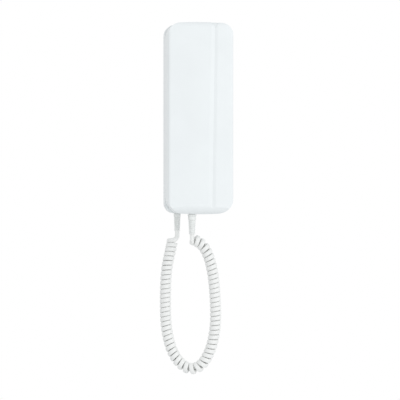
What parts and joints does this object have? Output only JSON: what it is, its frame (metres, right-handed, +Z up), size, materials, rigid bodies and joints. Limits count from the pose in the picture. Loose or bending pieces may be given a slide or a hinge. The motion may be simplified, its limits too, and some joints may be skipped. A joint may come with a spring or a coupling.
{
  "type": "audio intercom handset",
  "caption": "White wall intercom: a slim handset that lifts off its wall base, a curly cord between them, with a hook switch, door release button and volume slider.",
  "frame": {"origin": "middle of the face that lies on the wall", "axes": "+X to the right seen from the front, +Y into the wall, front faces -Y, +Z up"},
  "size_m": [0.0799, 0.0494, 0.3859],
  "materials": {
    "white_shell": "satin",
    "back_plate": "fine grain",
    "button_grey": "satin",
    "cord_white": "satin",
    "relief_white": "matt",
    "board_green": "solder mask",
    "capacitor_sleeve": "smooth sleeve",
    "chip_black": "matt",
    "terminal_green": "smooth",
    "switch_black": "matt",
    "screw_steel": "zinc plated",
    "spring_steel": "drawn wire",
    "speaker_frame_steel": "pressed sheet",
    "speaker_cone_paper": "pressed paper",
    "magnet_black": "sintered",
    "receiver_black": "matt",
    "diaphragm_film": "thin film",
    "foam_black": "open foam",
    "boot_black": "matt",
    "microphone_can": "drawn can",
    "weight_steel": "zinc plated",
    "lead_wires": "smooth"
  },
  "bodies": {
    "base": {"base_back_plate": "back_plate", "base_housing": "white_shell", "housing_screws": "screw_steel", "base_circuit_board": "board_green", "board_screws": "screw_steel", "board_capacitors": "capacitor_sleeve", "board_chip": "chip_black", "terminal_block": "terminal_green", "terminal_screws": "screw_steel", "call_speaker_frame": "speaker_frame_steel", "call_speaker_cone": "speaker_cone_paper", "call_speaker_magnet": "magnet_black", "hook_switch_body": "switch_black", "hook_spring": "spring_steel", "release_switch_body": "switch_black", "release_spring": "spring_steel", "volume_switch_body": "switch_black", "base_leads": "lead_wires", "base_cord_relief": "relief_white", "curly_cord": "cord_white"},
    "handset": {"handset_outer_shell": "white_shell", "handset_inner_shell": "white_shell", "handset_screws": "screw_steel", "receiver_gasket": "foam_black", "receiver_capsule": "receiver_black", "receiver_diaphragm": "diaphragm_film", "receiver_magnet": "magnet_black", "microphone_boot": "boot_black", "microphone_capsule": "microphone_can", "handset_weight": "weight_steel", "weight_screws": "screw_steel", "handset_leads": "lead_wires", "handset_cord_relief": "relief_white"},
    "hook_plunger": {"hook_plunger": "white_shell"},
    "door_release_button": {"door_release_button": "button_grey"},
    "volume_slider": {"volume_slider": "button_grey"}
  },
  "joints": [
    {"name": "handset_lift", "type": "slide", "parent": "base", "child": "handset", "axis": [0, -0.7071, 0.7071], "range_m": [0, 0.04], "deforming": ["curly_cord"]},
    {"name": "hook_plunger_travel", "type": "slide", "parent": "base", "child": "hook_plunger", "axis": [0, -1, 0], "range_m": [0, 0.004], "deforming": ["hook_spring"]},
    {"name": "door_release_press", "type": "slide", "parent": "base", "child": "door_release_button", "axis": [0, 1, 0], "range_m": [0, 0.0015], "stiffness_N_per_m": 200, "springref_m": -0.002, "deforming": ["release_spring"]},
    {"name": "volume_slide", "type": "slide", "parent": "base", "child": "volume_slider", "axis": [0, 0, 1], "range_m": [-0.004, 0.004]}
  ],
  "couplings": [
    {"joint": "hook_plunger_travel", "follows": "handset_lift", "ratio": 0.1}
  ]
}
